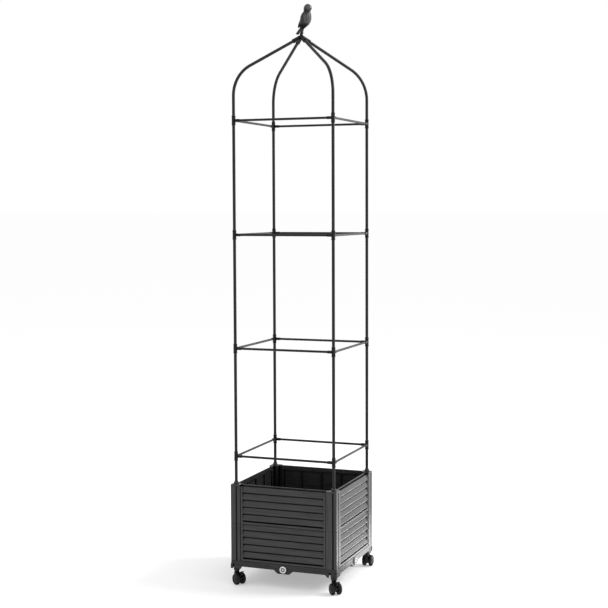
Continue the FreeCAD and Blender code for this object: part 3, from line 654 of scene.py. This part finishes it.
class PLANTER_OT_caster_brakes(Operator):
    """Brake levers with a ridged pedal"""
    bl_idname = "planter.caster_brakes"
    bl_label = "Caster brakes"

    def execute(self, context):
        tone = context.scene.planter_casters.plastic
        for corner in CORNERS:
            _, pivot, forward, sideways = caster_axes(corner)
            bm = merged_copy("caster_brake_" + corner)
            soften(bm, 0.6 * MM)
            pedal_ridges(bm, pivot, forward, sideways)
            finish_piece(f"caster_brake_{corner}_detail", bm, "brake_lever_" + corner,
                         moulded_nylon("moulded_nylon_caster", tone, 0.36), ["caster_brake_" + corner])
        return {"FINISHED"}


# ---- the trellis ---------------------------------------------------------------------------------------
def corner_points():
    """The four pole axes on the floor."""
    low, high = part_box("post_caps")
    inset = 15 * MM
    at = (high.x - low.x) / 2 - inset
    return [Vector((x * at, y * at, 0)) for x, y in ((-1, -1), (1, -1), (1, 1), (-1, 1))]


class PLANTER_OT_pole_sections(Operator):
    """Upright rods, in sections that meet inside the sleeves"""
    bl_idname = "planter.pole_sections"
    bl_label = "Pole sections"

    def execute(self, context):
        sizes = context.scene.planter_trellis
        for ring in RINGS:
            node = f"pole_sections_{ring}"
            low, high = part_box(node)
            bm = bmesh.new()
            for point in corner_points():
                bar(bm, sizes.pole_radius, point + UP * low.z, point + UP * high.z, 0.4 * MM,
                    sizes.round_steps)
            finish_piece(node + "_detail", bm, "planter", powder_coat(), [node])
        return {"FINISHED"}


class PLANTER_OT_ring_bars(Operator):
    """Thinner horizontal rods of the four rings"""
    bl_idname = "planter.ring_bars"
    bl_label = "Ring bars"

    def execute(self, context):
        sizes = context.scene.planter_trellis
        points = corner_points()
        for ring in RINGS:
            node = f"ring_bars_{ring}"
            low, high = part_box(node)
            height = UP * ((low.z + high.z) / 2)
            bm = bmesh.new()
            for start, end in zip(points, points[1:] + points[:1]):
                along = (end - start).normalized() * sizes.arm_reach
                bar(bm, sizes.bar_radius, start + along + height, end - along + height, 0.3 * MM,
                    sizes.round_steps)
            finish_piece(node + "_detail", bm, "planter", powder_coat(), [node])
        return {"FINISHED"}


def sleeve_profile(sizes, tall):
    """A bored sleeve with a collar at both ends and a waist a little slimmer than them."""
    outer = sizes.sleeve_radius
    waist = outer - 0.5 * MM
    bore = sizes.pole_radius + SOCKET_GAP
    collar = 4 * MM
    step = 4.6 * MM
    return [(bore, 0), (waist, 0), (outer, 0.5 * MM), (outer, collar), (waist, step), (waist, tall - step),
            (outer, tall - collar), (outer, tall - 0.5 * MM), (waist, tall), (bore, tall), (bore, 0)]


class PLANTER_OT_ring_connectors(Operator):
    """Sleeves at each ring, with a collar at both ends and a square arm for each bar"""
    bl_idname = "planter.ring_connectors"
    bl_label = "Ring connectors"

    def execute(self, context):
        sizes = context.scene.planter_trellis
        points = corner_points()
        for ring in RINGS:
            node = f"ring_connectors_{ring}"
            low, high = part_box(node)
            tall = high.z - low.z
            bm = bmesh.new()
            for place, point in enumerate(points):
                lathe(bm, sleeve_profile(sizes, tall), point + UP * low.z, UP, sizes.round_steps)
                for other in (points[place - 1], points[(place + 1) % len(points)]):
                    along = (other - point).normalized()
                    reach = sizes.arm_reach
                    inner = sizes.pole_radius
                    turn = along.to_track_quat("X", "Z").to_matrix()
                    rounded_slab(bm, point + UP * (low.z + tall / 2) + along * (reach + inner) / 2,
                                 (reach - inner, sizes.arm_side, sizes.arm_side), turn, 1.1 * MM)
            finish_piece(node + "_detail", bm, "planter",
                         moulded_nylon("moulded_nylon_joint", sizes.joint_plastic, 0.38), [node])
        return {"FINISHED"}


def arch_line(sizes, point):
    """Bend start, bend centre, bend axis, angle of bend and final slope of the arched rod over a corner."""
    inward = Vector((-point.x, -point.y, 0))
    level = inward.normalized()
    turn = math.pi / 2 - sizes.arch_slope
    tangent = sizes.bend_radius * math.tan(turn / 2)
    elbow = sizes.apex_height - inward.length * math.tan(sizes.arch_slope)
    start = Vector((point.x, point.y, elbow - tangent))
    slope = level * math.cos(sizes.arch_slope) + UP * math.sin(sizes.arch_slope)
    return start, start + level * sizes.bend_radius, UP.cross(level), turn, slope


def arched_rod(bm, sizes, point, low):
    """Sweeps a disc up from the top ring, round the bend and on up the slope into the hub's socket."""
    in_hub = 12.3 * MM   # from the apex to the rod's end
    start, centre, axis, turn, slope = arch_line(sizes, point)
    foot = Matrix.Translation((point.x, point.y, low))
    ring = bmesh.ops.create_circle(bm, cap_ends=True, radius=sizes.pole_radius, segments=sizes.round_steps,
                                   matrix=foot)["verts"]
    up = bmesh.ops.extrude_face_region(bm, geom=[ring[0].link_faces[0]])["geom"]
    moved = [item for item in up if isinstance(item, bmesh.types.BMVert)]
    bmesh.ops.translate(bm, verts=moved, vec=UP * (start.z - low))
    top = [item for item in up if isinstance(item, bmesh.types.BMFace)]
    bent = bmesh.ops.spin(bm, geom=top + [edge for item in top for edge in item.edges] + moved, cent=centre,
                          axis=axis, angle=turn, steps=20, use_duplicate=False)["geom_last"]
    cap = [item for item in bent if isinstance(item, bmesh.types.BMFace)]
    last = bmesh.ops.extrude_face_region(bm, geom=cap)["geom"]
    ends = [item for item in last if isinstance(item, bmesh.types.BMVert)]
    middle = sum((vert.co for vert in ends), Vector()) / len(ends)
    bmesh.ops.translate(bm, verts=ends, vec=(UP * sizes.apex_height - slope * in_hub) - middle)
    bmesh.ops.delete(bm, geom=[item for item in top + cap if item.is_valid], context="FACES_ONLY")


class PLANTER_OT_arch_rods(Operator):
    """Rods that rise from the top ring, bend over and run up to the hub"""
    bl_idname = "planter.arch_rods"
    bl_label = "Arch rods"

    def execute(self, context):
        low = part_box("arch_rods")[0].z
        bm = bmesh.new()
        for point in corner_points():
            arched_rod(bm, context.scene.planter_trellis, point, low)
        finish_piece("arch_rods_detail", bm, "planter", powder_coat(), ["arch_rods"])
        return {"FINISHED"}


class PLANTER_OT_trellis_hub(Operator):
    """Moulded hub with a socket for each arched rod and a neck for the bird"""
    bl_idname = "planter.trellis_hub"
    bl_label = "Trellis hub"

    def execute(self, context):
        sizes = context.scene.planter_trellis
        neck_top = context.scene.planter_bird.neck_top
        apex = UP * sizes.apex_height
        reach = 36 * MM
        outer = 7.5 * MM
        bore = sizes.pole_radius + SOCKET_GAP
        socket_floor = 13 * MM
        collar = outer + 0.4 * MM
        arm = [(0, 0), (outer, 0), (outer, reach - 5 * MM), (collar, reach - 4.4 * MM),
               (collar, reach - 0.6 * MM), (outer - 0.2 * MM, reach), (bore, reach), (bore, socket_floor),
               (0, socket_floor)]
        bm = bmesh.new()
        for point in corner_points():
            slope = arch_line(sizes, point)[4]
            lathe(bm, arm, apex, -slope, sizes.round_steps)
        neck = neck_top - sizes.apex_height
        lathe(bm, [(0, -8 * MM), (5 * MM, -7.6 * MM), (8 * MM, -5 * MM), (8.6 * MM, 0), (8 * MM, 3 * MM),
                   (6.2 * MM, 4.6 * MM), (5.6 * MM, 6 * MM), (5.5 * MM, neck - 0.5 * MM), (5 * MM, neck),
                   (0, neck)], apex, UP, sizes.round_steps)
        finish_piece("trellis_hub_detail", bm, "planter",
                     moulded_nylon("moulded_nylon_joint", sizes.joint_plastic, 0.38), ["trellis_hub"])
        return {"FINISHED"}


# ---- the bird ------------------------------------------------------------------------------------------
# forward, up, half depth and half width of each ring, in millimetres
BIRD_STATIONS = ((6, 14, 3.0, 3.0), (9.5, 20, 8.5, 7.0), (14.5, 28, 14.5, 12), (17.8, 37, 18.2, 16),
                 (19, 47, 19.6, 18), (20, 57, 19.2, 18), (21.8, 66, 16.2, 15.5), (24.2, 73, 12.0, 12),
                 (26.6, 78, 13.4, 12.6), (28, 84, 15.0, 13.8), (28.2, 90, 13.8, 12.8), (27.8, 95.5, 9.2, 9),
                 (27.4, 98.7, 3.4, 3.4))
FLUTED = (26, 72)    # heights between which the rings are fluted
FLUTE_DEPTH = 0.03   # as a share of a ring's size
# root, tip, half width and thickness of a wing's rows of feathers; roots and tips are forward and up
WING_ROWS = (((21, 68), (9, 24), 7.5, 4.6), ((16, 56), (2, 20), 7.0, 4.2), ((11, 45), (-6, 18), 5.0, 3.4))


def bird_body(bm, steps):
    """Rings from the tail's root to the crown, bridged into one skin, fluted like rows of feathers."""
    rings = []
    for forward, height, deep, wide in BIRD_STATIONS:
        verts = bmesh.ops.create_circle(bm, radius=1, segments=steps)["verts"]
        for place, vert in enumerate(verts):
            flute = 1 + FLUTE_DEPTH * (-1) ** place * (FLUTED[0] < height < FLUTED[1])
            vert.co = Vector((forward + vert.co.x * deep * flute, vert.co.y * wide * flute, height)) * MM
        rings.append(verts)
    for low, high in zip(rings, rings[1:]):
        edges = [edge for ring in (low, high) for vert in ring for edge in vert.link_edges
                 if edge.other_vert(vert) in ring]
        bmesh.ops.bridge_loops(bm, edges=list(dict.fromkeys(edges)))
    for ring in (rings[0], rings[-1]):
        bmesh.ops.contextual_create(bm, geom=ring)


def bird_wing(bm, side):
    """A folded wing: a long lobe on the flank, stepped where its three rows of feathers overlap."""
    for place, (root, tip, wide, thick) in enumerate(WING_ROWS):
        start = Vector((root[0], side * (15.4 + 0.7 * place), root[1])) * MM
        end = Vector((tip[0], side * (11.5 - 1.2 * place), tip[1])) * MM
        long = end - start
        turn = long.to_track_quat("Z", "Y").to_matrix().to_4x4()
        shape = (Matrix.Translation((start + end) / 2) @ turn
                 @ Matrix.Diagonal((wide * MM, thick * 0.5 * MM, long.length / 2, 1)))
        bmesh.ops.create_uvsphere(bm, u_segments=20, v_segments=12, radius=1, matrix=shape)


def bird_tail(bm):
    """Tail feathers as flat blades that fan a little."""
    for place in (-1, 0, 1):
        start = Vector((6, place * 1.5, 27)) * MM
        end = Vector((-20 + abs(place), place * 4.4, -2.5 + abs(place))) * MM
        turn = (end - start).to_track_quat("X", "Z").to_matrix()
        lift = Vector((0, 0, (1 - abs(place)) * 0.8 * MM))   # the middle feather lies on the other two
        rounded_slab(bm, (start + end) / 2 + lift, ((end - start).length, 6.6 * MM, 3.0 * MM), turn, 0.8 * MM)


def bird_eye(bm, side):
    bead = [(0, 0), (2.3, 0), (2.3, 0.5), (1.6, 1.0), (1.2, 1.5), (0, 1.9)]
    lathe(bm, [(radius * MM, out * MM) for radius, out in bead], Vector((35.5, side * 10.2, 87.5)) * MM,
          Vector((0.62, side, 0.1)), 20)


def bird_leg(bm, side):
    """A leg with three toes forward and one back."""
    hip = Vector((9, side * 4, 27)) * MM
    foot = Vector((1, side * 4, 2.2)) * MM
    bar(bm, 2.3 * MM, foot, hip, 0.3 * MM, 16)
    for toe in (-0.5, 0, 0.5):
        reach = Vector((math.cos(toe), math.sin(toe) + side * 0.1, -0.12)) * 6.5 * MM
        bar(bm, 0.9 * MM, foot, foot + reach, 0.25 * MM, 12)
    bar(bm, 0.9 * MM, foot, foot + Vector((-5, 0, -0.8)) * MM, 0.25 * MM, 12)


def bird_beak(bm):
    cone = [(0, -3), (3.9, -3), (3.6, 0), (2.4, 3.6), (1.1, 7.6), (0.5, 9.2), (0, 9.4)]
    lathe(bm, [(radius * MM, out * MM) for radius, out in cone], Vector((37.5, 0, 84.5)) * MM,
          Vector((1, 0, -0.3)), 24)


def bird_perch(bm):
    """The domed disc that the toes hold, with the peg that goes down into the hub's neck."""
    disc = [(0, -8), (2.5, -8), (2.5, 0), (5.5, 0), (5.6, 1.2), (4.4, 2.6), (0, 2.9)]
    lathe(bm, [(radius * MM, up * MM) for radius, up in disc], Vector(), UP, 32)


class PLANTER_OT_bird(Operator):
    """Cast songbird with feather flutes, folded wings, a fanned tail, beak, eyes and toes"""
    bl_idname = "planter.bird"
    bl_label = "Bird"

    def execute(self, context):
        bird = context.scene.planter_bird
        bm = bmesh.new()
        bird_body(bm, 40)
        for side in (-1, 1):
            bird_wing(bm, side)
            bird_eye(bm, side)
            bird_leg(bm, side)
        bird_tail(bm)
        bird_beak(bm)
        bird_perch(bm)
        bmesh.ops.rotate(bm, verts=bm.verts, cent=Vector(), matrix=Matrix.Rotation(bird.heading, 3, "Z"))
        bmesh.ops.translate(bm, verts=bm.verts, vec=UP * bird.neck_top)
        finish_piece("bird_finial_detail", bm, "planter", cast_bronze_grey(), ["bird_finial"])
        return {"FINISHED"}


# ---- the studio ----------------------------------------------------------------------------------------
def area_light(name, place, target, size, power):
    light = bpy.data.lights.new(name, "AREA")
    light.shape = "RECTANGLE"
    light.size, light.size_y = size
    light.energy = power
    lamp = bpy.data.objects.new(name, light)
    lamp.location = place
    lamp.rotation_euler = (Vector(target) - Vector(place)).to_track_quat("-Z", "Y").to_euler()
    bpy.context.scene.collection.objects.link(lamp)


# name, the setting of its power, where it stands, what it faces, and its width and height, in metres
LIGHTS = (("key_light", "key_power", (3.2, 1.3, 3.0), (0, 0, 0.3), (1.6, 1.6)),
          ("sheen_light", "sheen_power", (1.9, 4.6, 1.4), (0.1, 0, 0.3), (2.6, 2.2)),
          ("floor_strip", "strip_power", (0.31, 0.54, 0.002), (0.31, 0.54, 1), (0.17, 0.76)))


class PLANTER_OT_stage(Operator):
    """Pale floor, white surroundings, three soft lights and the camera"""
    bl_idname = "planter.stage"
    bl_label = "Studio"

    def execute(self, context):
        studio = context.scene.planter_studio
        bm = bmesh.new()
        bmesh.ops.create_grid(bm, x_segments=1, y_segments=1, size=FLOOR_REACH)
        mesh = bpy.data.meshes.new("studio_floor")
        bm.to_mesh(mesh)
        bm.free()
        floor = bpy.data.objects.new("studio_floor", mesh)
        context.scene.collection.objects.link(floor)
        material, tree, shader = start_material("backlit_acrylic_floor", 0.9)
        if tree:   # light from below keeps the shadow pale, as on a light table
            shader.inputs["Base Color"].default_value = (*studio.floor_tone, 1)
            shader.inputs["Specular IOR Level"].default_value = 0.0
            shader.inputs["Emission Color"].default_value = (1, 1, 1, 1)
            shader.inputs["Emission Strength"].default_value = studio.floor_glow
        mesh.materials.append(material)

        world = bpy.data.worlds.new("studio_surroundings")
        world.use_nodes = True
        world.node_tree.nodes["Background"].inputs["Color"].default_value = (1, 1, 1, 1)
        world.node_tree.nodes["Background"].inputs["Strength"].default_value = 1.0
        context.scene.world = world
        context.scene.view_settings.view_transform = "Standard"

        for name, power, place, target, size in LIGHTS:
            area_light(name, place, target, size, getattr(studio, power))

        lens = bpy.data.cameras.new("camera")
        lens.sensor_width = 36
        lens.lens = studio.lens
        camera = bpy.data.objects.new("camera", lens)
        camera.matrix_world = (Matrix.Translation(studio.camera_place)
                               @ Matrix.Rotation(studio.camera_heading, 4, "Z")
                               @ Matrix.Rotation(math.pi / 2 + studio.camera_tilt, 4, "X")
                               @ Matrix.Rotation(studio.camera_roll, 4, "Z"))
        context.scene.collection.objects.link(camera)
        context.scene.camera = camera
        return {"FINISHED"}


# ---- the add-on ----------------------------------------------------------------------------------------
OPERATORS = (PLANTER_OT_base_tray, PLANTER_OT_soil_grid, PLANTER_OT_corner_posts, PLANTER_OT_side_panels,
             PLANTER_OT_post_caps, PLANTER_OT_drain_plugs, PLANTER_OT_caster_stems, PLANTER_OT_caster_hoods,
             PLANTER_OT_caster_wheels, PLANTER_OT_caster_axles, PLANTER_OT_caster_brakes,
             PLANTER_OT_pole_sections, PLANTER_OT_ring_bars, PLANTER_OT_ring_connectors, PLANTER_OT_arch_rods,
             PLANTER_OT_trellis_hub, PLANTER_OT_bird, PLANTER_OT_stage)


class PLANTER_PT_sidebar(Panel):
    """Settings and one button for each piece"""
    bl_idname = "PLANTER_PT_sidebar"
    bl_label = "Planter with trellis"
    bl_space_type = "VIEW_3D"
    bl_region_type = "UI"
    bl_category = "Planter"

    def draw(self, context):
        for name, group in SETTINGS:
            box = self.layout.box()
            for key in group.__annotations__:
                box.prop(getattr(context.scene, name), key)
        for operator in OPERATORS:
            self.layout.operator(operator.bl_idname)


CLASSES = tuple(group for _, group in SETTINGS) + OPERATORS + (PLANTER_PT_sidebar,)


def register():
    for item in CLASSES:
        bpy.utils.register_class(item)
    for name, group in SETTINGS:
        setattr(bpy.types.Scene, name, PointerProperty(type=group))


def unregister():
    for name, _ in SETTINGS:
        delattr(bpy.types.Scene, name)
    for item in reversed(CLASSES):
        bpy.utils.unregister_class(item)


def main():
    register()
    for operator in OPERATORS:
        group, name = operator.bl_idname.split(".")
        getattr(getattr(bpy.ops, group), name)()


if __name__ == "__main__":
    main()
